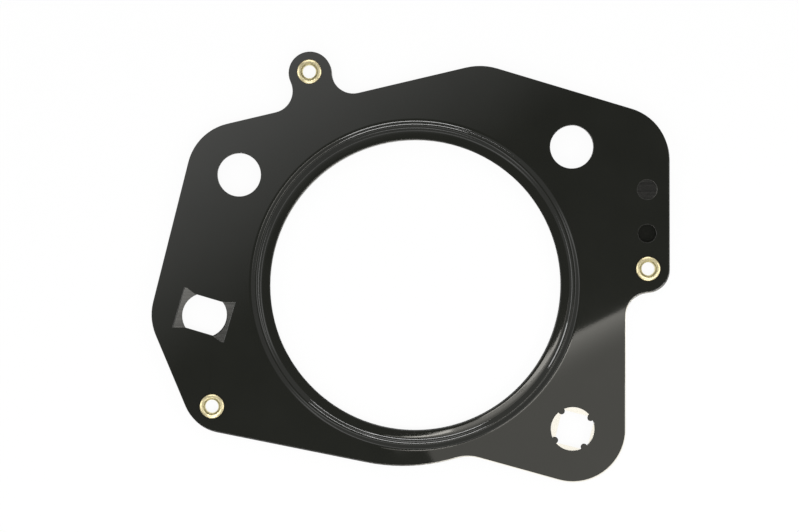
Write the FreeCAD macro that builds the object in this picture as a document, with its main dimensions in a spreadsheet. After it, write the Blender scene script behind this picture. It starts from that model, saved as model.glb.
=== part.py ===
import FreeCAD, Part
import math
import os
import Sketcher

# A turbocharger gasket of multi-layer steel. Two coated outer sheets, each with a bead
# pressed in round the bore, lie either side of a bare steel sheet. Three brass eyelets
# hold the stack together. Lengths are in millimetres and angles in degrees.

# Driving dimensions
# X and Y are measured from the bore's axis in the plane of the gasket, Z from mid-thickness.
SIZES = {
    # the stack
    "outer_sheet_thickness": 0.25,
    "middle_sheet_thickness": 0.30,
    "bore_radius": 30.5,
    # the bead, a ring groove pressed towards the middle sheet, its middle set in from the bore
    "bead_inset": 2.95,
    "bead_half_width": 1.5,
    "bead_depth": 0.30,
    # stud places, and the lobes of sheet round them
    "upper_left_stud_x": -36.94,
    "upper_left_stud_y": 23.07,
    "upper_right_stud_x": 32.84,
    "upper_right_stud_y": 28.94,
    "left_stud_x": -44.33,
    "left_stud_y": -6.3,
    "lower_right_stud_x": 33.05,
    "lower_right_stud_y": -30.26,
    "lobe_radius": 11.0,
    "stud_hole_radius": 4.55,
    # eyelet places
    "ear_eyelet_x": -22.22,
    "ear_eyelet_y": 44.69,
    "right_eyelet_x": 48.87,
    "right_eyelet_y": 3.34,
    "lower_left_eyelet_x": -42.65,
    "lower_left_eyelet_y": -25.5,
    # the outline's ear, apex and right side
    "ear_radius": 4.5,
    "ear_inset_x": 0.15,
    "ear_inset_y": -0.27,
    "ear_neck_radius": 4.55,
    "apex_x": 13.57,
    "apex_y": 33.12,
    "apex_radius": 12.8,
    "upper_right_corner_x": 42.28,
    "upper_right_corner_y": 26.4,
    "lug_radius": 4.87,
    "lug_inset": 0.43,
    "lug_neck_radius": 5.0,
    # the outline's lower side
    "lower_edge_slope": 15.5,
    "waist_radius": 8.7,
    "belly_x": -2.68,
    "belly_y": 1.71,
    "belly_margin": 4.6,
    "lower_left_corner_radius": 8.9,
    "lower_left_corner_inset_x": 2.65,
    "lower_left_corner_inset_y": 3.45,
    # the left stud's window in the upper sheet, with a sloping tongue on each long side
    "window_length": 11.05,
    "window_width": 8.7,
    "window_turn": -16.5,
    "tongue_width": 6.12,
    "tongue_shoulder": 0.55,
    "tongue_reach": 0.7,
    "left_hole_radius": 4.75,
    # the lower right stud's nibs in the upper sheet, and the square in the middle sheet
    "nibbed_hole_radius": 4.58,
    "nib_tip_radius": 3.73,
    "nib_half_width": 0.7,
    "nib_turn": 32,
    "nib_count": 4,
    "square_side": 7.05,
    "square_turn": -14,
    "square_offset_x": 0.25,
    # holes that let the sheets be counted from above
    "inspection_x": 48.66,
    "upper_inspection_y": 19.95,
    "upper_inspection_radius": 2.1,
    "lower_inspection_y": 10.77,
    "lower_inspection_radius": 1.92,
    # the eyelets
    "eyelet_bore_radius": 1.38,
    "eyelet_wall": 0.22,
    "eyelet_throat_radius": 0.46,
    "eyelet_flange_radius": 2.55,
    "eyelet_flange_height": 0.42,
    "eyelet_rim_height": 0.1,
    "eyelet_clearance": 0.05,
    # the middle sheet's wider bore and stud holes, its play on the eyelets, and its slip
    "middle_bore_relief": 0.05,
    "middle_stud_hole_radius": 4.73,
    "middle_play": 0.32,
    "middle_slip_x": 0.14,
    "middle_slip_y": -0.22,
}

doc = FreeCAD.newDocument("turbocharger_gasket")
sheet = doc.addObject("Spreadsheet::Sheet", "Sizes")
for row, (alias, value) in enumerate(SIZES.items(), start=1):
    sheet.set(f"A{row}", alias)
    sheet.set(f"B{row}", str(value))
    sheet.setAlias(f"B{row}", alias)
doc.recompute()

# Lengths that follow from the driving dimensions
SHEET_FLOOR = "(Sizes.middle_sheet_thickness / 2 + Sizes.bead_depth)"
SHEET_FACE = f"({SHEET_FLOOR} + Sizes.outer_sheet_thickness)"
BEAD_RING = "(Sizes.bore_radius + Sizes.bead_inset)"
BEAD_OUTER = f"({BEAD_RING} + Sizes.bead_half_width)"
BELLY_REACH = f"({BEAD_OUTER} + Sizes.belly_margin)"
# The bead's section is a run of tangent arcs, and this is the sum of two neighbours' radii
BEAD_ARCS = "((Sizes.bead_half_width^2 + Sizes.bead_depth^2) / (2 * Sizes.bead_depth))"
OUTSIDE_BEND = f"(({BEAD_ARCS} + Sizes.outer_sheet_thickness) / 2)"
INSIDE_BEND = f"(({BEAD_ARCS} - Sizes.outer_sheet_thickness) / 2)"
EYELET_TOP = f"({SHEET_FACE} + Sizes.eyelet_flange_height)"
EYELET_BARREL = "(Sizes.eyelet_bore_radius + Sizes.eyelet_wall)"

ORIGIN = (-1, 1)
START, END, CENTRE = 1, 2, 3
UPWARD = FreeCAD.Vector(0, 0, 1)


def value_of(expression):
    """The number that an expression on the sheet of sizes stands for."""
    return float(sheet.evalExpression(expression))


def point(x_value, y_value):
    return FreeCAD.Vector(x_value, y_value, 0)


def new_body(name):
    body = doc.addObject("PartDesign::Body", name)
    body.Label = name
    return body


def origin_plane(body, role):
    return next(feature for feature in body.Origin.OriginFeatures if feature.Role == role)


def new_sketch(body, name, role="XY_Plane", offset=(None, None, None), turn=None, flipped=False):
    """A sketch on one of the body's own planes, moved and turned there by sheet values.
    A flipped sketch is turned over about its own X, so what it draws comes out below."""
    sketch = body.newObject("Sketcher::SketchObject", name)
    sketch.AttachmentSupport = [(origin_plane(body, role), "")]
    sketch.MapMode = "FlatFace"
    if flipped:
        over = FreeCAD.Rotation(FreeCAD.Vector(1, 0, 0), 180)
        sketch.AttachmentOffset = FreeCAD.Placement(FreeCAD.Vector(), over)
    if turn is not None:
        about = FreeCAD.Rotation(UPWARD, value_of(turn))
        sketch.AttachmentOffset = FreeCAD.Placement(FreeCAD.Vector(), about)
        sketch.setExpression("AttachmentOffset.Rotation.Yaw", f"{turn} * 1 deg")
    for axis, expression in zip("xyz", offset):
        if expression is not None:
            sketch.setExpression(f"AttachmentOffset.Base.{axis}", expression)
    return sketch


def bind(sketch, kind, *where, to):
    """Adds a dimension to a sketch and ties it to an expression on the sheet of sizes."""
    value = value_of(to)
    if kind == "Angle":
        number = sketch.addConstraint(Sketcher.Constraint(kind, *where, math.radians(value)))
        sketch.setExpression(f"Constraints[{number}]", f"{to} * 1 deg")
    else:
        number = sketch.addConstraint(Sketcher.Constraint(kind, *where, value))
        sketch.setExpression(f"Constraints[{number}]", to)


def relate(sketch, kind, *where):
    """Adds a relation that carries no size, such as a tangent joint."""
    sketch.addConstraint(Sketcher.Constraint(kind, *where))


def fix_point(sketch, geometry, position, x, y):
    bind(sketch, "DistanceX", *ORIGIN, geometry, position, to=x)
    bind(sketch, "DistanceY", *ORIGIN, geometry, position, to=y)


def add_arc(sketch, centre, radius, from_angle, to_angle):
    circle = Part.Circle(centre, UPWARD, value_of(radius))
    geometry = sketch.addGeometry(Part.ArcOfCircle(circle, from_angle, to_angle))
    bind(sketch, "Radius", geometry, to=radius)
    return geometry


def add_line(sketch, start, end):
    return sketch.addGeometry(Part.LineSegment(start, end))


def draw_circle(sketch, radius, x=None, y=None):
    """A circle about a place given by expressions, or about the sketch's own origin."""
    centre = point(0, 0) if x is None else point(value_of(x), value_of(y))
    geometry = sketch.addGeometry(Part.Circle(centre, UPWARD, value_of(radius)))
    if x is None:
        relate(sketch, "Coincident", geometry, CENTRE, *ORIGIN)
    else:
        fix_point(sketch, geometry, CENTRE, x, y)
    bind(sketch, "Radius", geometry, to=radius)


def draw_polygon(sketch, corners):
    """A closed run of straight edges, its corners given as pairs of expressions."""
    points = [point(value_of(x), value_of(y)) for x, y in corners]
    edges = [add_line(sketch, at, points[n + 1 - len(points)]) for n, at in enumerate(points)]
    for number, edge in enumerate(edges):
        fix_point(sketch, edge, START, *corners[number])
        relate(sketch, "Coincident", edge, END, edges[number + 1 - len(edges)], START)


# The outline that all three sheets share: a belt of arcs and the straight edges between them
class BeltArc:
    """One rounded place of the outline. Its size is an expression. Its centre is a pair of
    expressions, or a bare point where its neighbours settle it. A hollow arc bends inwards."""

    def __init__(self, radius, x=None, y=None, settled=None):
        self.radius = radius
        self.x = x
        self.y = y
        self.hollow = settled is not None
        self.centre = settled or point(value_of(x), value_of(y))
        self.reach = value_of(radius)
        self.turn = -self.reach if self.hollow else self.reach


def edge_between(first, second):
    """The ends of the straight edge that runs clockwise from one belt arc to the next."""
    across = second.centre - first.centre
    slant = max(-1.0, min(1.0, (second.turn - first.turn) / across.Length))
    heading = math.atan2(across.y, across.x) + math.asin(slant)
    outward = point(-math.sin(heading), math.cos(heading))
    return first.centre + outward * first.turn, second.centre + outward * second.turn


def hollow_beside(round_arc, edge_end, heading, radius, side):
    """The hollow arc that joins a straight edge to a rounded place. The edge is given by a
    point and its clockwise heading, and side is 1 where the hollow comes after the rounded
    place, -1 where it comes before."""
    along = point(math.cos(heading), math.sin(heading))
    outward = point(-along.y, along.x)
    reach = value_of(radius)
    level = edge_end + outward * reach
    gap = round_arc.centre - level
    miss = gap.dot(outward)
    run = gap.dot(along) + side * math.sqrt((round_arc.reach + reach) ** 2 - miss**2)
    return BeltArc(radius, settled=level + along * run)


def belt_arcs():
    """The rounded places of the outline, clockwise from the upper left stud's lobe."""

    def lobe(place):
        return BeltArc("Sizes.lobe_radius", f"Sizes.{place}_x", f"Sizes.{place}_y")

    upper_left, corner, lower_right, left = map(
        lobe, ("upper_left_stud", "upper_right_corner", "lower_right_stud", "left_stud")
    )
    ear = BeltArc(
        "Sizes.ear_radius",
        "Sizes.ear_eyelet_x + Sizes.ear_inset_x",
        "Sizes.ear_eyelet_y + Sizes.ear_inset_y",
    )
    apex = BeltArc("Sizes.apex_radius", "Sizes.apex_x", "Sizes.apex_y")
    lug = BeltArc(
        "Sizes.lug_radius", "Sizes.right_eyelet_x - Sizes.lug_inset", "Sizes.right_eyelet_y"
    )
    belly = BeltArc(BELLY_REACH, "Sizes.belly_x", "Sizes.belly_y")
    lower_left = BeltArc(
        "Sizes.lower_left_corner_radius",
        "Sizes.lower_left_eyelet_x + Sizes.lower_left_corner_inset_x",
        "Sizes.lower_left_eyelet_y + Sizes.lower_left_corner_inset_y",
    )

    top_start, top_end = edge_between(upper_left, apex)
    top_heading = math.atan2(top_end.y - top_start.y, top_end.x - top_start.x)
    ear_neck = "Sizes.ear_neck_radius"
    before_ear = hollow_beside(ear, top_start, top_heading, ear_neck, -1)
    after_ear = hollow_beside(ear, top_start, top_heading, ear_neck, 1)

    right_side = lower_right.centre + point(lower_right.reach, 0)
    lug_neck = hollow_beside(lug, right_side, -math.pi / 2, "Sizes.lug_neck_radius", 1)

    lower_heading = math.pi - math.radians(value_of("Sizes.lower_edge_slope"))
    outward = point(-math.sin(lower_heading), math.cos(lower_heading))
    lower_side = lower_right.centre + outward * lower_right.reach
    waist = hollow_beside(belly, lower_side, lower_heading, "Sizes.waist_radius", -1)

    top = [upper_left, before_ear, ear, after_ear, apex, corner]
    bottom = [lug, lug_neck, lower_right, waist, belly, lower_left, left]
    return top + bottom


def draw_outline(sketch):
    """Draws the belt with every joint tangent, and ties it to the sheet of sizes."""
    arcs = belt_arcs()
    edges_met = [edge_between(arc, arcs[n + 1 - len(arcs)]) for n, arc in enumerate(arcs)]
    chain = []
    edge_after = {}
    for number, arc in enumerate(arcs):
        arrival = edges_met[number - 1][1] - arc.centre
        departure = edges_met[number][0] - arc.centre
        came = math.atan2(arrival.y, arrival.x)
        went = math.atan2(departure.y, departure.x)
        first, last = (came, went) if arc.hollow else (went, came)
        if last < first:
            last += 2 * math.pi
        geometry = add_arc(sketch, arc.centre, arc.radius, first, last)
        chain.append((geometry, START, END) if arc.hollow else (geometry, END, START))
        if not arc.hollow:
            fix_point(sketch, geometry, CENTRE, arc.x, arc.y)
        leaves, meets = edges_met[number]
        if (meets - leaves).Length > 0.01:
            edge_after[arc] = add_line(sketch, leaves, meets)
            chain.append((edge_after[arc], START, END))
    for number, (geometry, _, leaving) in enumerate(chain):
        following, arriving, _ = chain[number + 1 - len(chain)]
        relate(sketch, "Tangent", geometry, leaving, following, arriving)
    # the top edge is one straight line, broken by the ear
    relate(sketch, "Tangent", edge_after[arcs[0]], edge_after[arcs[3]])
    relate(sketch, "Vertical", edge_after[arcs[7]])
    bind(sketch, "Angle", edge_after[arcs[8]], to="(180 - Sizes.lower_edge_slope)")


# Features that the sheets are built from
def pad(body, name, sketch, length, downward=False, both_ways=False):
    feature = body.newObject("PartDesign::Pad", name)
    feature.Profile = sketch
    feature.setExpression("Length", length)
    feature.Reversed = downward
    feature.Midplane = both_ways
    doc.recompute()
    return feature


def cut_through(body, name, sketch):
    """Cuts a sketch's closed shapes right through the body, and makes sure that it cut."""
    before = body.Shape.Volume
    feature = body.newObject("PartDesign::Pocket", name)
    feature.Profile = sketch
    feature.Type = "ThroughAll"
    feature.Midplane = True
    doc.recompute()
    if not body.Shape.Volume < before:
        raise RuntimeError(f"{name} removes nothing")


def cut_round_holes(body, name, holes):
    """Round holes cut as one named feature, each given as a radius and a place."""
    sketch = new_sketch(body, f"{name}_sketch")
    for radius, place in holes:
        draw_circle(sketch, radius, f"Sizes.{place}_x", f"Sizes.{place}_y")
    cut_through(body, name, sketch)


def revolve(body, name, sketch):
    feature = body.newObject("PartDesign::Revolution", name)
    feature.Profile = sketch
    feature.ReferenceAxis = (sketch, ["V_Axis"])
    feature.Angle = 360
    doc.recompute()
    return feature


def draw_bead_skin(sketch, height, foot_radius, valley_radius):
    """One face of the beaded sheet, from the bead's outer foot to the edge of the bore: a
    foot, the valley and a second foot, all tangent, then the flat land next to the bore."""
    lean = math.asin(value_of("Sizes.bead_half_width") / value_of(BEAD_ARCS))
    up = math.pi / 2
    ring = value_of(BEAD_RING)
    half_width = value_of("Sizes.bead_half_width")
    foot_level = value_of(height) - value_of(foot_radius)
    valley_level = value_of(height) - value_of("Sizes.bead_depth") + value_of(valley_radius)

    outer_centre = point(ring + half_width, foot_level)
    outer_foot = add_arc(sketch, outer_centre, foot_radius, up, up + lean)
    valley = add_arc(sketch, point(ring, valley_level), valley_radius, -up - lean, -up + lean)
    inner_centre = point(ring - half_width, foot_level)
    inner_foot = add_arc(sketch, inner_centre, foot_radius, up - lean, up)
    bore_edge = point(value_of("Sizes.bore_radius"), value_of(height))
    land = add_line(sketch, point(ring - half_width, value_of(height)), bore_edge)

    bind(sketch, "DistanceX", *ORIGIN, outer_foot, CENTRE, to=BEAD_OUTER)
    bind(sketch, "DistanceX", *ORIGIN, valley, CENTRE, to=BEAD_RING)
    bind(sketch, "DistanceY", *ORIGIN, outer_foot, START, to=height)
    bind(sketch, "DistanceY", *ORIGIN, land, START, to=height)
    bind(sketch, "DistanceX", *ORIGIN, land, END, to="Sizes.bore_radius")
    relate(sketch, "Vertical", outer_foot, START, outer_foot, CENTRE)
    relate(sketch, "Horizontal", land)
    relate(sketch, "Tangent", outer_foot, END, valley, END)
    relate(sketch, "Tangent", valley, START, inner_foot, START)
    relate(sketch, "Tangent", inner_foot, END, land, START)
    return outer_foot, land


def add_bead(body, name, below):
    """Turns the beaded part of an outer sheet, at the sheet's own thickness, about the bore."""
    sketch = new_sketch(body, f"{name}_section", "XZ_Plane", flipped=below)
    face_foot, face_land = draw_bead_skin(sketch, SHEET_FACE, OUTSIDE_BEND, INSIDE_BEND)
    floor_foot, floor_land = draw_bead_skin(sketch, SHEET_FLOOR, INSIDE_BEND, OUTSIDE_BEND)
    floor, face = value_of(SHEET_FLOOR), value_of(SHEET_FACE)
    bore, outer = value_of("Sizes.bore_radius"), value_of(BEAD_OUTER)
    bore_wall = add_line(sketch, point(bore, face), point(bore, floor))
    outer_wall = add_line(sketch, point(outer, floor), point(outer, face))
    relate(sketch, "Coincident", bore_wall, START, face_land, END)
    relate(sketch, "Coincident", bore_wall, END, floor_land, END)
    relate(sketch, "Coincident", outer_wall, START, floor_foot, START)
    relate(sketch, "Coincident", outer_wall, END, face_foot, START)
    revolve(body, name, sketch)


def eyelet_holes(clearance):
    radius = f"{EYELET_BARREL} + Sizes.{clearance}"
    return [(radius, place) for place in ("ear_eyelet", "right_eyelet", "lower_left_eyelet")]


def outer_sheet(name, below, holes):
    """An outer sheet: the flat outside the bead, the bead and its land, then its holes."""
    body = new_body(name)
    level = f"-{SHEET_FLOOR}" if below else SHEET_FLOOR
    sketch = new_sketch(body, f"{name}_outline", offset=(None, None, level))
    draw_outline(sketch)
    draw_circle(sketch, BEAD_OUTER)
    pad(body, f"{name}_flat", sketch, "Sizes.outer_sheet_thickness", downward=below)
    add_bead(body, f"{name}_bead", below)
    studs = [("Sizes.stud_hole_radius", f"{side}_stud") for side in ("upper_left", "upper_right")]
    cut_round_holes(body, f"{name}_stud_holes", studs)
    cut_round_holes(body, f"{name}_eyelet_holes", eyelet_holes("eyelet_clearance"))
    cut_round_holes(body, f"{name}_wide_holes", holes)
    return body


# The upper sheet, with the window and the nibs that hold the gasket on two of its studs
top_layer = outer_sheet(
    "top_bead_layer", False, [("Sizes.nibbed_hole_radius", "lower_right_stud")]
)

window = new_sketch(
    top_layer,
    "stud_window_sketch",
    offset=("Sizes.left_stud_x", "Sizes.left_stud_y", None),
    turn="Sizes.window_turn",
)
far_x, far_y = "Sizes.window_length / 2", "Sizes.window_width / 2"
shoulder_x = f"({far_x} - Sizes.tongue_shoulder)"
tongue_x, tongue_y = "Sizes.tongue_width / 2", "(Sizes.window_width / 2 - Sizes.tongue_reach)"
# one long side, left to right; the other is the same, half a turn on
long_side = [
    (-1, far_x, far_y), (-1, shoulder_x, far_y), (-1, tongue_x, tongue_y),
    (1, tongue_x, tongue_y), (1, far_x, far_y),
]
corners = [
    (f"{half * side} * {x}", f"{half} * {y}") for half in (1, -1) for side, x, y in long_side
]
draw_polygon(window, corners)
cut_through(top_layer, "stud_window", window)

nib_sketch = new_sketch(
    top_layer,
    "stud_nib_sketch",
    offset=("Sizes.lower_right_stud_x", "Sizes.lower_right_stud_y", SHEET_FLOOR),
    turn="Sizes.nib_turn",
)
nib_centre = "(Sizes.nib_tip_radius + Sizes.nib_half_width)"
nib_root = "(Sizes.nibbed_hole_radius + Sizes.nib_half_width)"
half_width = value_of("Sizes.nib_half_width")
tip_x, root_x = value_of(nib_centre), value_of(nib_root)
tip = add_arc(nib_sketch, point(tip_x, 0), "Sizes.nib_half_width", math.pi / 2, math.pi * 1.5)
upper_side = add_line(nib_sketch, point(root_x, half_width), point(tip_x, half_width))
lower_side = add_line(nib_sketch, point(tip_x, -half_width), point(root_x, -half_width))
root = add_line(nib_sketch, point(root_x, -half_width), point(root_x, half_width))
relate(nib_sketch, "PointOnObject", tip, CENTRE, -1)
bind(nib_sketch, "DistanceX", *ORIGIN, tip, CENTRE, to=nib_centre)
relate(nib_sketch, "Tangent", upper_side, END, tip, START)
relate(nib_sketch, "Tangent", tip, END, lower_side, START)
relate(nib_sketch, "Horizontal", upper_side)
relate(nib_sketch, "Horizontal", lower_side)
relate(nib_sketch, "Coincident", lower_side, END, root, START)
relate(nib_sketch, "Coincident", root, END, upper_side, START)
relate(nib_sketch, "Vertical", root)
bind(nib_sketch, "DistanceX", *ORIGIN, root, START, to=nib_root)
nib = pad(top_layer, "stud_nib", nib_sketch, "Sizes.outer_sheet_thickness")

nibs = top_layer.newObject("PartDesign::PolarPattern", "stud_nibs")
nibs.Originals = [nib]
nibs.Axis = (nib_sketch, ["N_Axis"])
nibs.Angle = 360
nibs.setExpression("Occurrences", "Sizes.nib_count")
top_layer.Tip = nibs
doc.recompute()

inspection = new_sketch(top_layer, "inspection_holes_sketch")
for level in ("upper", "lower"):
    radius, height = f"Sizes.{level}_inspection_radius", f"Sizes.{level}_inspection_y"
    draw_circle(inspection, radius, "Sizes.inspection_x", height)
cut_through(top_layer, "inspection_holes", inspection)

# The lower sheet, plain at the two studs that the upper one grips
bottom_layer = outer_sheet(
    "bottom_bead_layer",
    True,
    [
        ("Sizes.left_hole_radius", "left_stud"),
        ("Sizes.nibbed_hole_radius", "lower_right_stud"),
    ],
)

# The bare middle sheet, which has slipped a little within its play on the eyelets
middle_layer = new_body("middle_layer")
middle_outline = new_sketch(middle_layer, "middle_layer_outline")
draw_outline(middle_outline)
draw_circle(middle_outline, "Sizes.bore_radius + Sizes.middle_bore_relief")
pad(middle_layer, "middle_layer_flat", middle_outline, "Sizes.middle_sheet_thickness", both_ways=True)
middle_holes = [
    ("Sizes.middle_stud_hole_radius", f"{side}_stud") for side in ("upper_left", "upper_right", "left")
]
cut_round_holes(middle_layer, "middle_layer_stud_holes", middle_holes)
cut_round_holes(middle_layer, "middle_layer_eyelet_holes", eyelet_holes("middle_play"))

square = new_sketch(
    middle_layer,
    "square_stud_hole_sketch",
    offset=(
        "Sizes.lower_right_stud_x + Sizes.square_offset_x",
        "Sizes.lower_right_stud_y",
        None,
    ),
    turn="Sizes.square_turn",
)
corner_signs = ((-1, -1), (1, -1), (1, 1), (-1, 1))
half_side = "Sizes.square_side / 2"
draw_polygon(square, [(f"{x} * {half_side}", f"{y} * {half_side}") for x, y in corner_signs])
cut_through(middle_layer, "square_stud_hole", square)

pierced = new_sketch(middle_layer, "middle_inspection_hole_sketch")
pierced_radius = "Sizes.lower_inspection_radius + Sizes.middle_play"
draw_circle(pierced, pierced_radius, "Sizes.inspection_x", "Sizes.lower_inspection_y")
cut_through(middle_layer, "middle_inspection_hole", pierced)
middle_layer.setExpression("Placement.Base.x", "Sizes.middle_slip_x")
middle_layer.setExpression("Placement.Base.y", "Sizes.middle_slip_y")


# The eyelets, each a tube through the stack with a flange rolled over at both ends
def eyelet(name, place):
    body = new_body(name)
    sketch = new_sketch(body, f"{name}_section", "XZ_Plane")
    bore, throat = value_of("Sizes.eyelet_bore_radius"), value_of("Sizes.eyelet_throat_radius")
    rim, barrel = value_of("Sizes.eyelet_flange_radius"), value_of(EYELET_BARREL)
    seat, top = value_of(SHEET_FACE), value_of(EYELET_TOP)
    rim_top = seat + value_of("Sizes.eyelet_rim_height")
    # the crown runs from the throat's top out to the rim
    run, drop = rim - bore - throat, top - rim_top
    crown_radius = (run**2 + drop**2) / (2 * drop)
    crown_end = math.atan2(crown_radius - drop, run)
    crown_centre = point(bore + throat, top - crown_radius)

    inner_wall = add_line(sketch, point(bore, 0), point(bore, top - throat))
    throat_centre = point(bore + throat, top - throat)
    throat_arc = add_arc(
        sketch, throat_centre, "Sizes.eyelet_throat_radius", math.pi / 2, math.pi
    )
    crown_circle = Part.Circle(crown_centre, UPWARD, crown_radius)
    crown = sketch.addGeometry(Part.ArcOfCircle(crown_circle, crown_end, math.pi / 2))
    rim_wall = add_line(sketch, point(rim, rim_top), point(rim, seat))
    underside = add_line(sketch, point(rim, seat), point(barrel, seat))
    outer_wall = add_line(sketch, point(barrel, seat), point(barrel, 0))
    middle = add_line(sketch, point(barrel, 0), point(bore, 0))

    fix_x, fix_y = "DistanceX", "DistanceY"
    bind(sketch, fix_x, *ORIGIN, inner_wall, START, to="Sizes.eyelet_bore_radius")
    relate(sketch, "PointOnObject", inner_wall, START, -1)
    relate(sketch, "Vertical", inner_wall)
    relate(sketch, "Tangent", inner_wall, END, throat_arc, END)
    relate(sketch, "Tangent", throat_arc, START, crown, END)
    relate(sketch, "Vertical", throat_arc, START, throat_arc, CENTRE)
    bind(sketch, fix_y, *ORIGIN, throat_arc, START, to=EYELET_TOP)
    bind(sketch, fix_x, *ORIGIN, crown, START, to="Sizes.eyelet_flange_radius")
    bind(sketch, fix_y, *ORIGIN, crown, START, to=f"{SHEET_FACE} + Sizes.eyelet_rim_height")
    relate(sketch, "Coincident", crown, START, rim_wall, START)
    relate(sketch, "Vertical", rim_wall)
    bind(sketch, fix_y, *ORIGIN, rim_wall, END, to=SHEET_FACE)
    relate(sketch, "Coincident", rim_wall, END, underside, START)
    relate(sketch, "Horizontal", underside)
    bind(sketch, fix_x, *ORIGIN, underside, END, to=EYELET_BARREL)
    relate(sketch, "Coincident", underside, END, outer_wall, START)
    relate(sketch, "Vertical", outer_wall)
    relate(sketch, "Coincident", outer_wall, END, middle, START)
    relate(sketch, "Horizontal", middle)
    relate(sketch, "Coincident", middle, END, inner_wall, START)
    upper_half = revolve(body, f"{name}_upper_half", sketch)

    both = body.newObject("PartDesign::Mirrored", f"{name}_both_ends")
    both.Originals = [upper_half]
    both.MirrorPlane = (origin_plane(body, "XY_Plane"), [""])
    body.Tip = both
    body.setExpression("Placement.Base.x", f"Sizes.{place}_x")
    body.setExpression("Placement.Base.y", f"Sizes.{place}_y")
    return body


pieces = [top_layer, middle_layer, bottom_layer]
for place in ("ear", "right", "lower_left"):
    pieces.append(eyelet(f"eyelet_{place}", f"{place}_eyelet"))
doc.recompute()

# Checks, then the exchange files
for item in doc.Objects:
    if "Invalid" in item.State or "Error" in item.State:
        raise RuntimeError(f"{item.Name} did not rebuild: {item.State}")
    if item.TypeId == "Sketcher::SketchObject" and not item.FullyConstrained:
        raise RuntimeError(f"{item.Name} is free to move")
for piece in pieces:
    if piece.Shape.isNull() or not piece.Shape.isValid() or len(piece.Shape.Solids) != 1:
        raise RuntimeError(f"{piece.Label} is not one sound solid")

os.makedirs("parts", exist_ok=True)
for piece in pieces:
    piece.Shape.exportStep(os.path.join("parts", f"{piece.Label}.step"))
    box = piece.Shape.optimalBoundingBox()
    print(f"{piece.Label}: {box.XLength:.2f} x {box.YLength:.2f} x {box.ZLength:.2f} mm,",
          f"{piece.Shape.Volume:.1f} cubic mm")
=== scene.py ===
# %% [markdown]
# The gasket comes in first, as six solids whose shape and place are already settled:
# two coated outer sheets, the bare sheet between them, and three eyelets. Everything
# that follows is built round them, in metres, with Z straight up out of the top sheet.

# %% Load the solids
import math

import bmesh
import bpy
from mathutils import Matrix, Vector


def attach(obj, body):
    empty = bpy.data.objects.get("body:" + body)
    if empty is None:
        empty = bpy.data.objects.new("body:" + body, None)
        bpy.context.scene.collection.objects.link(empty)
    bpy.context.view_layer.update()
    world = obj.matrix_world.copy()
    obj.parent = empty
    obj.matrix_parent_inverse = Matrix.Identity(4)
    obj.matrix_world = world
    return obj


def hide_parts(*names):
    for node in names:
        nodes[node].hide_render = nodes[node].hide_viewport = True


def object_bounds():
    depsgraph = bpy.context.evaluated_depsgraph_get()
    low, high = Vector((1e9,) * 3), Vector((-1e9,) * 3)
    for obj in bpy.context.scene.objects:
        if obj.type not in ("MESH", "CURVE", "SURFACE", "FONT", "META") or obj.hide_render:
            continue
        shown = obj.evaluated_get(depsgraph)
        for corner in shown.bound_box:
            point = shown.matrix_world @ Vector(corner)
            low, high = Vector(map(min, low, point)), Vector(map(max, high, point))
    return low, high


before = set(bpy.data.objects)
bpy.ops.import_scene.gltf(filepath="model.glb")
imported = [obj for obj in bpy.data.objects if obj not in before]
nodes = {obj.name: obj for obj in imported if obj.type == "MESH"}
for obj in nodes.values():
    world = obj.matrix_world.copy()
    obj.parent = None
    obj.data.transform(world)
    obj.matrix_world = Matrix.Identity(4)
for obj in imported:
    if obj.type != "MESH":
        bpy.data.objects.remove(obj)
cad_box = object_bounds()
bpy.ops.object.select_all(action="DESELECT")
print("solids:", sorted(nodes))

# %% [markdown]
# The real gasket was laid flat and looked at from straight above through a long lens,
# so its edges show almost no depth. A camera that looks down the Z axis needs no turn,
# only its place. One pixel of the picture is 0.21 mm of the gasket, which sets the lens.

# %% Camera straight above
MM = 0.001
PIXEL = 0.21 * MM
PICTURE_WIDTH, PICTURE_HEIGHT = 799, 532
BORE_PIXEL = (415.2, 284.7)
CAMERA_HEIGHT = 0.6
SENSOR_WIDTH = 36.0

view_x = (PICTURE_WIDTH / 2 - BORE_PIXEL[0]) * PIXEL
view_y = (BORE_PIXEL[1] - PICTURE_HEIGHT / 2) * PIXEL
camera_data = bpy.data.cameras.new("camera")
camera_data.sensor_width = SENSOR_WIDTH
camera_data.lens = SENSOR_WIDTH * CAMERA_HEIGHT / (PICTURE_WIDTH * PIXEL)
camera_data.clip_start = 0.01
camera = bpy.data.objects.new("camera", camera_data)
camera.location = (view_x, view_y, CAMERA_HEIGHT)
bpy.context.scene.collection.objects.link(camera)
bpy.context.scene.camera = camera
bpy.context.scene.view_settings.view_transform = "Standard"
print("lens:", round(camera_data.lens, 1), "mm")

# %% [markdown]
# The pieces are shaped in edit mode, where an operator acts on whatever is selected. Two
# helpers keep that safe: one makes a piece the only selected object, and one selects just
# the edges that pass a test on their place or on the faces beside them.

# %% Helpers for shaping
LEVEL = 0.025


def take(piece):
    bpy.ops.object.select_all(action="DESELECT")
    piece.select_set(True)
    bpy.context.view_layer.objects.active = piece


def select_edges(piece, passes):
    bpy.ops.mesh.select_mode(type="EDGE")
    bpy.ops.mesh.select_all(action="DESELECT")
    shape = bmesh.from_edit_mesh(piece.data)
    for edge in shape.edges:
        edge.select_set(passes(edge))
    shape.select_flush_mode()
    bmesh.update_edit_mesh(piece.data)
    return sum(edge.select for edge in shape.edges)


def from_axis(vertex):
    return math.hypot(vertex.co.x, vertex.co.y) / MM


def at_height(edge, height):
    """True if both ends are within LEVEL of a height, all in millimetres."""
    return all(abs(vertex.co.z / MM - height) < LEVEL for vertex in edge.verts)


def open_edges(piece):
    shape = bmesh.new()
    shape.from_mesh(piece.data)
    count = sum(len(edge.link_faces) != 2 for edge in shape.edges)
    shape.free()
    return count


print("shaping helpers ready")

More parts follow.
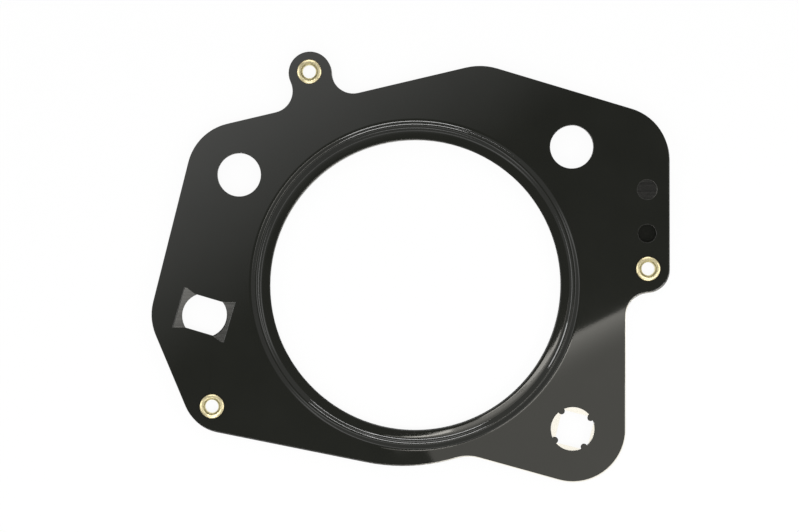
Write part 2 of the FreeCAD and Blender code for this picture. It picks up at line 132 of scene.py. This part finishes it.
# %% [markdown]
# The bead is a groove pressed into each outer sheet right round the bore. Its section is
# a run of arcs that flow into each other, and its highlights are thin, so it needs many
# more rings than the solid has. A section can be turned with Spin, or, as here, drawn
# out of one circle: each step extrudes the circle in height and scales it to the next
# radius. Upper and lower skin are drawn in one go, in along one and back out along the
# other, so the sheet keeps its thickness.

# %% Drawing a section out of a circle
def arc(middle, radius, start, end, steps):
    """Points on an arc, as (distance from the axis, height) in millimetres. The angles
    are in degrees."""
    angles = [math.radians(start + (end - start) * step / steps) for step in range(steps + 1)]
    return [(middle[0] + radius * math.cos(a), middle[1] + radius * math.sin(a)) for a in angles]


def draw_rings(name, section, segments):
    radius, height = section[0]
    bpy.ops.object.select_all(action="DESELECT")
    bpy.ops.mesh.primitive_circle_add(vertices=segments, radius=radius * MM,
                                      location=(0, 0, height * MM))
    piece = bpy.context.active_object
    piece.name = name
    bpy.ops.object.mode_set(mode="EDIT")
    for next_radius, next_height in section[1:]:
        rise = (next_height - height) * MM
        bpy.ops.mesh.extrude_region_move(TRANSFORM_OT_translate={"value": (0, 0, rise)})
        grow = next_radius / radius
        bpy.ops.transform.resize(value=(grow, grow, 1), center_override=(0, 0, 0))
        radius, height = next_radius, next_height
    bpy.ops.object.mode_set(mode="OBJECT")
    bpy.ops.object.transform_apply(location=True, rotation=True, scale=True)
    return piece


print("drawing helpers ready")

# %% [markdown]
# The groove has a foot on each side and a valley between. From a foot down to the valley,
# two arcs meet at one lean. Together they go across by the groove's half width and down by
# its depth, which settles both the lean and the sum of the two radii: the tangent of half
# the lean is the depth over the half width.
#
# A pressed sheet has no sharp corners. It begins to fall a little before the groove, which
# is the roll, and the land between the groove and the bore leans in by about a degree and
# then rounds over at the bore. Those falls are hundredths of a millimetre, but a glossy
# coat shows them, because a tilt of one degree moves a reflection by two.

# %% The bead's section
SHEET_FLOOR, SHEET_FACE = 0.45, 0.70
BORE_RADIUS, BEAD_RING, BEAD_HALF_WIDTH, GROOVE_DEPTH = 30.5, 33.45, 1.2, 0.3
FOOT_STEPS, VALLEY_STEPS, BEAD_SEGMENTS = 8, 16, 360
ROLL = [(34.93, 0.0), (34.8, 0.0012)]
ROLL_DROP, FIRST_LEAN = 0.0045, 1.7
LAND = [(32.15, 0.0), (31.9, 0.002), (31.6, 0.007), (31.2, 0.014), (30.78, 0.0215),
        (30.66, 0.03), (30.57, 0.045), (BORE_RADIUS, 0.075)]
LEAN = math.degrees(2 * math.atan((GROOVE_DEPTH - ROLL_DROP) / BEAD_HALF_WIDTH))
both_bends = BEAD_HALF_WIDTH / math.sin(math.radians(LEAN))
sheet_half = (SHEET_FACE - SHEET_FLOOR) / 2
WIDE_BEND, TIGHT_BEND = both_bends / 2 + sheet_half, both_bends / 2 - sheet_half
foot_low = SHEET_FACE - ROLL_DROP - WIDE_BEND
valley_high = SHEET_FLOOR - GROOVE_DEPTH + WIDE_BEND
outer_foot = (BEAD_RING + BEAD_HALF_WIDTH, foot_low)
inner_foot = (BEAD_RING - BEAD_HALF_WIDTH, foot_low)
valley = (BEAD_RING, valley_high)
bead_section = (
    [(radius, SHEET_FACE - drop) for radius, drop in ROLL]
    + arc(outer_foot, WIDE_BEND, 90 + FIRST_LEAN, 90 + LEAN, FOOT_STEPS)
    + arc(valley, TIGHT_BEND, 270 + LEAN, 270 - LEAN, VALLEY_STEPS)[1:]
    + arc(inner_foot, WIDE_BEND, 90 - LEAN, 90, FOOT_STEPS)[1:]
    + [(radius, SHEET_FACE - ROLL_DROP - drop) for radius, drop in LAND]
    + [(radius, SHEET_FLOOR - ROLL_DROP - drop) for radius, drop in reversed(LAND)]
    + arc(inner_foot, TIGHT_BEND, 90, 90 - LEAN, FOOT_STEPS)
    + arc(valley, WIDE_BEND, 270 - LEAN, 270 + LEAN, VALLEY_STEPS)[1:]
    + arc(outer_foot, TIGHT_BEND, 90 + LEAN, 90 + FIRST_LEAN, FOOT_STEPS)[1:]
    + [(radius, SHEET_FLOOR - drop) for radius, drop in reversed(ROLL)]
)
print("bead section:", len(bead_section), "points, lean", round(LEAN, 1), "degrees")

# %% [markdown]
# The rest of an outer sheet is flat, and its outline and holes come from the solid. A
# copy of the solid is a heap of loose triangles, so it is merged first. The solid's own
# bead is then cut out of it, by deleting every face that lies inside the bead's foot.

# %% The flat part of an outer sheet
FOOT_RADIUS, CUT_MARGIN = 34.95, 0.01
WELD = 0.001 * MM


def flat_part(node, name):
    sheet = bpy.data.objects.new(name, nodes[node].data.copy())
    bpy.context.scene.collection.objects.link(sheet)
    take(sheet)
    bpy.ops.object.mode_set(mode="EDIT")
    bpy.ops.mesh.select_all(action="SELECT")
    bpy.ops.mesh.remove_doubles(threshold=WELD)
    bpy.ops.mesh.select_mode(type="FACE")
    bpy.ops.mesh.select_all(action="DESELECT")
    shape = bmesh.from_edit_mesh(sheet.data)
    for face in shape.faces:
        face.select_set(all(from_axis(vertex) < FOOT_RADIUS + CUT_MARGIN
                            for vertex in face.verts))
    bmesh.update_edit_mesh(sheet.data)
    bpy.ops.mesh.delete(type="FACE")
    select_edges(sheet, lambda edge: edge.is_boundary)
    bpy.ops.mesh.mark_sharp()
    bpy.ops.object.mode_set(mode="OBJECT")
    return sheet


print("top solid:", len(nodes["top_bead_layer"].data.polygons), "triangles before the cut")

# %% [markdown]
# The fine bead goes into the gap, and Fill closes the hair's breadth between its outer
# ring and the flat part, once above and once below. A stamped sheet is rolled over a
# little where the punch went in, so the rims of its outer face get a bevel of 0.09 mm,
# which catches the light. The borders of the flats are marked sharp, so that smooth
# shading does not tilt the light on them. The same steps make both sheets, the lower one
# with its heights turned to the other side.

# %% Outer sheets with a fine bead
RIM_ROLL = 0.09
RIM_ANGLE, SHARP_ANGLE = math.radians(60), math.radians(20)
FOOT_MARGIN, BORE_MARGIN = 0.04, 0.2


def borders_flat(edge):
    """True for the border of a flat face, but not where the bead's own curve begins."""
    level = [abs(face.normal.z) > 0.99999 for face in edge.link_faces]
    inner, outer = BORE_RADIUS + BORE_MARGIN, FOOT_RADIUS - FOOT_MARGIN
    on_bead = all(inner < from_axis(vertex) < outer for vertex in edge.verts)
    return any(level) and not all(level) and not on_bead


def outer_sheet(node, name, side):
    sheet = flat_part(node, name)
    section = [(radius, side * height) for radius, height in bead_section]
    bead = draw_rings("bead", section, BEAD_SEGMENTS)
    take(sheet)
    bead.select_set(True)
    bpy.ops.object.join()
    bpy.ops.object.mode_set(mode="EDIT")
    for height in (side * SHEET_FACE, side * SHEET_FLOOR):
        select_edges(sheet, lambda edge: edge.is_boundary and at_height(edge, height))
        bpy.ops.mesh.fill(use_beauty=True)
    bpy.ops.mesh.select_all(action="SELECT")
    bpy.ops.mesh.normals_make_consistent(inside=False)
    rims = select_edges(sheet, lambda edge: at_height(edge, side * SHEET_FACE)
                        and edge.calc_face_angle(0) > RIM_ANGLE)
    bpy.ops.mesh.bevel(offset=RIM_ROLL * MM, segments=2, affect="EDGES")
    select_edges(sheet, borders_flat)
    bpy.ops.mesh.mark_sharp()
    bpy.ops.object.mode_set(mode="OBJECT")
    take(sheet)
    bpy.ops.object.shade_smooth_by_angle(angle=SHARP_ANGLE, keep_sharp_edges=True)
    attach(sheet, "root")
    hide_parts(node)
    faces = len(sheet.data.polygons)
    print(name, "faces:", faces, "rim edges:", rims, "open:", open_edges(sheet))
    return sheet


top_sheet = outer_sheet("top_bead_layer", "top_sheet", 1)
bottom_sheet = outer_sheet("bottom_bead_layer", "bottom_sheet", -1)

# %% [markdown]
# An eyelet is a short brass tube, rolled over at both ends on to the sheets. Its section
# runs up the bore, over the rounded lip, down the crown to the rim, and back in along the
# sheet to the barrel, and then the same again below.

# %% The section of an eyelet
EYELET_BORE, EYELET_BARREL, EYELET_RIM, LIP_RADIUS = 1.38, 1.60, 2.55, 0.46
LIP_MIDDLE = (EYELET_BORE + LIP_RADIUS, 0.66)
CROWN_RADIUS, CROWN_END = 0.948, 44
RIM_CURL = [(2.545, 0.79), (EYELET_RIM, 0.75), (2.53, SHEET_FACE)]
BARREL_STEP, LIP_STEPS, CROWN_STEPS = 0.35, 10, 9
crown_middle = (LIP_MIDDLE[0], LIP_MIDDLE[1] + LIP_RADIUS - CROWN_RADIUS)
upper_half = (
    [(EYELET_BORE, height) for height in (0.0, 0.2, 0.4)]
    + arc(LIP_MIDDLE, LIP_RADIUS, 180, 90, LIP_STEPS)
    + arc(crown_middle, CROWN_RADIUS, 90, CROWN_END, CROWN_STEPS)[1:]
    + RIM_CURL
    + [(EYELET_BARREL, height) for height in (SHEET_FACE, BARREL_STEP, 0.0)]
)
lower_half = [(radius, -height) for radius, height in reversed(upper_half)]
print("eyelet section:", len(upper_half), "points on each side")

# %% [markdown]
# The eyelet is drawn out of a circle once. The rolling tool leaves the crown a little
# lumpy, which a Displace modifier gives with clouds of about half a millimetre. Each
# vertex then notes how far it is from the bore's axis, for the finish to use, before the
# copies are made. Each copy is turned, so that no two look the same.

# %% Brass eyelets
EYELET_SEGMENTS, LUMP_SIZE, LUMP_HEIGHT = 72, 0.55, 0.07
EYELET_ANGLE, TURN_EACH = math.radians(50), 95
PLACES = {
    "eyelet_ear": (-22.22, 44.69),
    "eyelet_right": (48.87, 3.34),
    "eyelet_lower_left": (-42.65, -25.5),
}


def shape_eyelet():
    eyelet = draw_rings("brass_eyelet", upper_half + lower_half[1:], EYELET_SEGMENTS)
    take(eyelet)
    bpy.ops.object.mode_set(mode="EDIT")
    bpy.ops.mesh.select_all(action="SELECT")
    bpy.ops.mesh.remove_doubles(threshold=WELD)
    bpy.ops.mesh.normals_make_consistent(inside=False)
    bpy.ops.object.mode_set(mode="OBJECT")
    lumps = bpy.data.textures.new("rolled_lumps", "CLOUDS")
    lumps.noise_scale = LUMP_SIZE * MM
    press = eyelet.modifiers.new("press", "DISPLACE")
    press.texture = lumps
    press.strength = LUMP_HEIGHT * MM
    press.mid_level = 0.5
    bpy.ops.object.modifier_apply(modifier=press.name)
    bpy.ops.object.shade_smooth_by_angle(angle=EYELET_ANGLE)
    distances = eyelet.data.attributes.new("from_bore", "FLOAT", "POINT")
    distances.data.foreach_set("value", [from_axis(vertex) for vertex in eyelet.data.vertices])
    return eyelet


first_eyelet = shape_eyelet()
eyelets = []
for number, (node, (x, y)) in enumerate(PLACES.items()):
    eyelet = bpy.data.objects.new("brass_" + node, first_eyelet.data.copy())
    bpy.context.scene.collection.objects.link(eyelet)
    take(eyelet)
    bpy.ops.object.mode_set(mode="EDIT")
    bpy.ops.mesh.select_all(action="SELECT")
    bpy.ops.transform.rotate(value=math.radians(TURN_EACH * number), orient_axis="Z",
                             center_override=(0, 0, 0))
    bpy.ops.transform.translate(value=(x * MM, y * MM, 0))
    bpy.ops.object.mode_set(mode="OBJECT")
    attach(eyelet, "root")
    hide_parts(node)
    eyelets.append(eyelet)
bpy.data.objects.remove(first_eyelet)
print("eyelets:", [eyelet.name for eyelet in eyelets], "open:", open_edges(eyelets[0]))

# %% [markdown]
# A finish is a small network of nodes, so a few helpers keep the networks readable: one
# starts a finish, one adds a node and sets its inputs, and one maps a grey pattern onto
# two colours or two numbers.

# %% Helpers for finishes
def new_finish(name):
    finish = bpy.data.materials.new(name)
    finish.use_nodes = True
    return finish, finish.node_tree, finish.node_tree.nodes["Principled BSDF"]


def add_node(tree, kind, **inputs):
    node = tree.nodes.new(kind)
    for key, value in inputs.items():
        node.inputs[key.replace("_", " ")].default_value = value
    return node


def wire(tree, source, output, target, socket):
    tree.links.new(source.outputs[output], target.inputs[socket])


def spread(tree, source, output, low, high, to_low, to_high):
    """Maps a grey pattern between low and high onto numbers between to_low and to_high."""
    node = tree.nodes.new("ShaderNodeMapRange")
    ends = {"From Min": low, "From Max": high, "To Min": to_low, "To Max": to_high}
    for key, value in ends.items():
        node.inputs[key].default_value = value
    wire(tree, source, output, node, "Value")
    return node


def blend_colours(tree, source, output, first, second):
    node = tree.nodes.new("ShaderNodeMix")
    node.data_type = "RGBA"
    node.inputs["A"].default_value = (*first, 1)
    node.inputs["B"].default_value = (*second, 1)
    wire(tree, source, output, node, "Factor")
    return node


def mix_output(node):
    return next(s for s in node.outputs if s.type == "RGBA")


def object_coordinates(tree, scale=(1, 1, 1), turn=(0, 0, 0)):
    place = tree.nodes.new("ShaderNodeTexCoord")
    mapping = tree.nodes.new("ShaderNodeMapping")
    mapping.inputs["Scale"].default_value = scale
    mapping.inputs["Rotation"].default_value = turn
    wire(tree, place, "Object", mapping, "Vector")
    return mapping


def noise(tree, place, scale, detail=3.0, roughness=0.5):
    node = add_node(tree, "ShaderNodeTexNoise", Scale=scale, Detail=detail, Roughness=roughness)
    wire(tree, place, "Vector", node, "Vector")
    return node


print("finish helpers ready")

# %% [markdown]
# The outer sheets are spring steel with a thin coat of black rubber. The coat is smooth
# enough to mirror the edges of the lamps, with only a trace of orange peel. Only the faces
# are coated, because the sheet is coated before it is cut, so its cut edges are bare steel.
# The surface's own normal tells the two apart: a face looks up or down, an edge sideways.

# %% Black rubber coat with bare cut edges
COAT_DARK, COAT_LIGHT = (0.0107, 0.0113, 0.0092), (0.0150, 0.0156, 0.0130)
CUT_STEEL = (0.36, 0.35, 0.33, 1)

coat, tree, shader = new_finish("black_rubber_coat")
place = object_coordinates(tree)
mottle = noise(tree, place, scale=90.0, detail=4.0)
peel = noise(tree, place, scale=2600.0, detail=2.0)
sway = noise(tree, place, scale=28.0, detail=1.0)

colour = blend_colours(tree, mottle, "Fac", COAT_DARK, COAT_LIGHT)
geometry = tree.nodes.new("ShaderNodeTexCoord")
split = tree.nodes.new("ShaderNodeSeparateXYZ")
wire(tree, geometry, "Normal", split, "Vector")
flatness = add_node(tree, "ShaderNodeMath")
flatness.operation = "ABSOLUTE"
wire(tree, split, "Z", flatness, 0)
is_face = spread(tree, flatness, 0, 0.3, 0.6, 0.0, 1.0)

edge_colour = tree.nodes.new("ShaderNodeMix")
edge_colour.data_type = "RGBA"
wire(tree, is_face, 0, edge_colour, "Factor")
edge_colour.inputs["A"].default_value = CUT_STEEL
tree.links.new(mix_output(colour), edge_colour.inputs["B"])
tree.links.new(mix_output(edge_colour), shader.inputs["Base Color"])

metal = spread(tree, is_face, 0, 0.0, 1.0, 0.9, 0.0)
wire(tree, metal, 0, shader, "Metallic")
rough = spread(tree, mottle, "Fac", 0.3, 0.7, 0.028, 0.045)
wire(tree, rough, 0, shader, "Roughness")
shader.inputs["IOR"].default_value = 1.5

bump = add_node(tree, "ShaderNodeBump", Strength=0.006, Distance=0.00005)
wire(tree, peel, "Fac", bump, "Height")
slow = add_node(tree, "ShaderNodeBump", Strength=0.01, Distance=0.0005)
wire(tree, sway, "Fac", slow, "Height")
wire(tree, bump, "Normal", slow, "Normal")
wire(tree, slow, "Normal", shader, "Normal")
for sheet in (top_sheet, bottom_sheet):
    sheet.data.materials.clear()
    sheet.data.materials.append(coat)
print("coat on the outer sheets")

# %% [markdown]
# The middle sheet is bare rolled steel. Rolling leaves fine straight lines, so the
# pattern is a noise squeezed hard along one direction. It shows only as a thin rim and
# through the holes of the sheet above. Its colour carries painted shade: a second, dark
# colour darkens the steel, and with it what the steel mirrors. The painted shade fades out
# along a diagonal towards the lower right and near the bore.

# %% Bare rolled steel with painted shade
# The third colour is painted shade that darkens the steel.
STEEL_DARK, STEEL_LIGHT, STEEL_SHADE = (0.70, 0.69, 0.65), (0.82, 0.81, 0.77), (0.10, 0.10, 0.09, 1)
SQUEEZE, ROLLING_TURN = (60, 3000, 400), math.radians(12)
SHADE_FROM, SHADE_TO, SHADE_SHARE, SHADE_TURN = 22, 36, 0.62, math.radians(45)
BORE_LIT_TO, BORE_SHADE_FROM = 31.2, 32.0

steel, tree, shader = new_finish("bare_rolled_steel")
lines = noise(tree, object_coordinates(tree, SQUEEZE, (0, 0, ROLLING_TURN)), 1.0)
stain = noise(tree, object_coordinates(tree), 160.0)
tint = blend_colours(tree, stain, "Fac", STEEL_DARK, STEEL_LIGHT)
across = tree.nodes.new("ShaderNodeSeparateXYZ")
wire(tree, object_coordinates(tree, turn=(0, 0, SHADE_TURN)), "Vector", across, "Vector")
# Painted shade: dark over most of the sheet, fading out towards the lower right and near the
# bore.
shade_band = spread(tree, across, "X", SHADE_FROM * MM, SHADE_TO * MM, SHADE_SHARE, 0.0)
distance = tree.nodes.new("ShaderNodeVectorMath")
distance.operation = "LENGTH"
wire(tree, object_coordinates(tree), "Vector", distance, 0)
away_from_bore = spread(tree, distance, "Value", BORE_LIT_TO * MM, BORE_SHADE_FROM * MM, 0.0, 1.0)
steel_shade = add_node(tree, "ShaderNodeMath")
steel_shade.operation = "MULTIPLY"
wire(tree, shade_band, 0, steel_shade, 0)
wire(tree, away_from_bore, 0, steel_shade, 1)
shaded_steel = tree.nodes.new("ShaderNodeMix")
shaded_steel.data_type = "RGBA"
wire(tree, steel_shade, 0, shaded_steel, "Factor")
tree.links.new(mix_output(tint), shaded_steel.inputs["A"])
shaded_steel.inputs["B"].default_value = STEEL_SHADE
tree.links.new(mix_output(shaded_steel), shader.inputs["Base Color"])
shader.inputs["Metallic"].default_value = 1.0
wire(tree, spread(tree, lines, "Fac", 0.3, 0.7, 0.09, 0.14), 0, shader, "Roughness")
bump = add_node(tree, "ShaderNodeBump", Strength=0.1, Distance=0.00002)
wire(tree, lines, "Fac", bump, "Height")
wire(tree, bump, "Normal", shader, "Normal")
nodes["middle_layer"].data.materials.clear()
nodes["middle_layer"].data.materials.append(steel)
print("steel on the middle sheet")

# %% [markdown]
# The eyelets are rolled from brass tube. Brass that has been worked is never even: it is
# paler where the tool rubbed it. Three bands of painted light and shade lie over that:
# painted shade inside the lip, a painted highlight at the edge of the bore and a brownish
# painted shadow round the outer rim. Each vertex carries its distance from the bore's
# axis, so the bands can be laid by it.

# %% Worked brass with painted light and shade
BRASS_DARK, BRASS_LIGHT = (0.58, 0.50, 0.27), (0.80, 0.72, 0.48)

brass, tree, shader = new_finish("worked_brass")
rubbed = noise(tree, object_coordinates(tree), scale=900.0, detail=4.0, roughness=0.6)
tint = blend_colours(tree, rubbed, "Fac", BRASS_DARK, BRASS_LIGHT)
from_bore = tree.nodes.new("ShaderNodeAttribute")
from_bore.attribute_name = "from_bore"
# The three bands are painted light: shade inside the lip, a highlight at the bore's edge and a
# shadow round the rim.
PAINTED_LIGHT_BANDS = {
    "painted shade inside the lip": (1.72, 1.95, 0.8, 0.0, (0.15, 0.13, 0.05, 1)),
    "painted highlight at the bore": (1.42, 1.55, 1.0, 0.0, (0.80, 0.74, 0.50, 1)),
    "painted shadow round the rim": (2.44, 2.54, 0.0, 0.7, (0.16, 0.09, 0.02, 1)),
}
for begins, ends, first, last, painted_tone in PAINTED_LIGHT_BANDS.values():
    band = spread(tree, from_bore, "Fac", begins, ends, first, last)
    layer = tree.nodes.new("ShaderNodeMix")
    layer.data_type = "RGBA"
    wire(tree, band, 0, layer, "Factor")
    tree.links.new(mix_output(tint), layer.inputs["A"])
    layer.inputs["B"].default_value = painted_tone
    tint = layer
tree.links.new(mix_output(tint), shader.inputs["Base Color"])
shader.inputs["Metallic"].default_value = 1.0
wire(tree, spread(tree, rubbed, "Fac", 0.3, 0.7, 0.34, 0.46), 0, shader, "Roughness")
bump = add_node(tree, "ShaderNodeBump", Strength=0.2, Distance=0.00005)
wire(tree, rubbed, "Fac", bump, "Height")
wire(tree, bump, "Normal", shader, "Normal")
for eyelet in eyelets:
    eyelet.data.materials.clear()
    eyelet.data.materials.append(brass)
print("brass on the eyelets")

# %% [markdown]
# The gasket lies on its three eyelets on a white table. The table takes the soft shadow,
# but most of what the lens sees of it is a plain white, as in a catalogue picture. Light
# Path tells the rays of the lens, of gloss and of glass from the rest, and only those
# see the white.

# %% White table
TABLE_SIZE = 4.0
PAPER_DARK, PAPER_LIGHT, WHITE_SHARE = (0.80, 0.80, 0.80), (0.82, 0.82, 0.82), 0.93

floor_height = cad_box[0][2]
bpy.ops.mesh.primitive_plane_add(size=TABLE_SIZE, location=(0, 0, floor_height))
table = bpy.context.active_object
table.name = "table"
table_finish, tree, shader = new_finish("white_table")
grain = noise(tree, object_coordinates(tree), scale=40.0, detail=2.0)
paper = blend_colours(tree, grain, "Fac", PAPER_DARK, PAPER_LIGHT)
tree.links.new(mix_output(paper), shader.inputs["Base Color"])
shader.inputs["Roughness"].default_value = 0.9
glow = add_node(tree, "ShaderNodeEmission")
glow.inputs["Color"].default_value = (1, 1, 1, 1)
glow.inputs["Strength"].default_value = 1.0
rays = tree.nodes.new("ShaderNodeLightPath")
either = add_node(tree, "ShaderNodeMath")
either.operation = "MAXIMUM"
wire(tree, rays, "Is Camera Ray", either, 0)
wire(tree, rays, "Is Glossy Ray", either, 1)
seen = add_node(tree, "ShaderNodeMath")
seen.operation = "MAXIMUM"
wire(tree, either, 0, seen, 0)
wire(tree, rays, "Is Transmission Ray", seen, 1)
share = spread(tree, seen, 0, 0.0, 1.0, 0.0, WHITE_SHARE)
mixed = tree.nodes.new("ShaderNodeMixShader")
output = tree.nodes["Material Output"]
wire(tree, share, 0, mixed, 0)
tree.links.new(shader.outputs[0], mixed.inputs[1])
tree.links.new(glow.outputs[0], mixed.inputs[2])
tree.links.new(mixed.outputs[0], output.inputs["Surface"])
table.data.materials.append(table_finish)
print("table at", round(floor_height / MM, 2), "mm")

# %% [markdown]
# A glossy black sheet is lit by what it mirrors. A panel's brightness is set directly, as
# the light each bit of it gives off, so its size can change without changing how bright
# its reflection looks. A soft panel is given by the direction it stands in. A flat panel
# lies level over the gasket, and can fade across its width.

# %% Helpers for lamps
def soft_panel(name, azimuth, zenith, distance, size, radiance):
    """An area lamp aimed at the gasket. Azimuth runs anticlockwise from +X, in degrees."""
    data = bpy.data.lights.new(name, "AREA")
    data.shape = "RECTANGLE"
    data.size, data.size_y = size
    data.energy = radiance * math.pi * size[0] * size[1]
    lamp = bpy.data.objects.new(name, data)
    around, tilt = math.radians(azimuth), math.radians(zenith)
    flat = distance * math.sin(tilt)
    lamp.location = (flat * math.cos(around), flat * math.sin(around), distance * math.cos(tilt))
    aim = -Vector(lamp.location)
    lamp.rotation_euler = aim.to_track_quat("-Z", "Y").to_euler()
    lamp.visible_camera = False
    bpy.context.scene.collection.objects.link(lamp)


def flat_panel(name, corner, heading, length, width, height, radiance, tint=(1, 1, 1)):
    """A level lamp over the gasket. It runs from its corner along its heading for its
    length, and to the right of that for its width. The corner is in millimetres."""
    data = bpy.data.lights.new(name, "AREA")
    data.shape = "RECTANGLE"
    data.size, data.size_y = length * MM, width * MM
    data.energy = radiance * math.pi * data.size * data.size_y
    data.color = tint
    lamp = bpy.data.objects.new(name, data)
    angle = math.radians(heading)
    along = Vector((math.cos(angle), math.sin(angle), 0))
    right = Vector((math.sin(angle), -math.cos(angle), 0))
    middle = Vector((*corner, 0)) + along * length / 2 + right * width / 2
    lamp.location = (middle.x * MM, middle.y * MM, height * MM)
    lamp.rotation_euler = (0, 0, angle)
    lamp.visible_camera = False
    bpy.context.scene.collection.objects.link(lamp)
    return lamp


def fade_across(lamp, bright_end, dark_end, power):
    """Lets a panel fade across its width, from bright to dark, both as shares of the width."""
    lamp.data.use_nodes = True
    tree = lamp.data.node_tree
    spot = tree.nodes.new("ShaderNodeNewGeometry")
    split = tree.nodes.new("ShaderNodeSeparateXYZ")
    wire(tree, spot, "Parametric", split, "Vector")
    fall = spread(tree, split, "Y", bright_end, dark_end, 1.0, 0.0)
    steep = add_node(tree, "ShaderNodeMath")
    steep.operation = "POWER"
    steep.inputs[1].default_value = power
    wire(tree, fall, 0, steep, 0)
    wire(tree, steep, 0, tree.nodes["Emission"], "Strength")


print("lamp helpers ready")

# %% [markdown]
# The straight edge of a flat panel is what the flats show as a sharp diagonal. Two of
# these give the broad tones, one at each side, and a third brightens the edge of the lower
# right one. The smaller lamps are there for highlights on the bead, and stand where the
# flats, seen from above, do not mirror them. Lamps that overlap get slightly different
# heights, so that none lies in another's plane. Four soft panels stand low round the
# gasket, one on each side.

# %% Lamps
WARM, DIAGONAL = (1.0, 0.97, 0.9), 26.5
upper_left = flat_panel("upper_left_panel", (799, 586), 214.4, 2000, 260, 1300, 1.4)
fade_across(upper_left, bright_end=0.45, dark_end=1.0, power=1.1)
flat_panel("lower_right_panel", (-0.2, -40.4), DIAGONAL, 78, 52, 250, 1.2, WARM)
bright_edge = flat_panel("bright_edge", (-8, -44.3), DIAGONAL, 85, 12, 248, 2.9, WARM)
fade_across(bright_edge, bright_end=1.0, dark_end=0.0, power=2.5)
flat_panel("bright_core", (14, -27), DIAGONAL, 30, 5, 246, 7.0, WARM)
flat_panel("edge_core", (-2, -41.3), DIAGONAL, 13, 2.5, 247, 8.0, WARM)
flat_panel("low_east_panel", (66.2, -42.3), 67, 26, 19.6, 40, 8.0)
soft_panel("south_strip", 275, 22, 1.0, (0.29, 0.12), 15.0)
flat_panel("southwest_strip", (-55, -61), -24.6, 40, 11, 100, 16.0)
SIDES = {"north_panel": 90, "west_panel": 180, "south_panel": 270, "east_panel": 0}
for name, azimuth in SIDES.items():
    soft_panel(name, azimuth, zenith=66, distance=1.5, size=(1.2, 0.7), radiance=3.0)

# %% [markdown]
# The rest of the light comes from all round, as in a white tent, except from overhead,
# where the lens looks through a dark opening. Where no panel stands, that opening is what
# the flat sheet mirrors, and it is why the sheet looks black.

# %% White tent with a dark opening overhead
OPENING, OPENING_EDGE = math.radians(9), math.radians(16)
TENT_LIGHT, OPENING_LIGHT = 0.42, 0.04

world = bpy.data.worlds.new("studio")
bpy.context.scene.world = world
world.use_nodes = True
tree = world.node_tree
direction = tree.nodes.new("ShaderNodeTexCoord")
split = tree.nodes.new("ShaderNodeSeparateXYZ")
wire(tree, direction, "Generated", split, "Vector")
tent = spread(tree, split, "Z", math.cos(OPENING_EDGE), math.cos(OPENING),
              TENT_LIGHT, OPENING_LIGHT)
wire(tree, tent, 0, tree.nodes["Background"], "Strength")
tree.nodes["Background"].inputs["Color"].default_value = (1, 1, 1, 1)
print("dark opening:", round(math.degrees(OPENING)), "degrees each way, full tent from",
      round(math.degrees(OPENING_EDGE)))
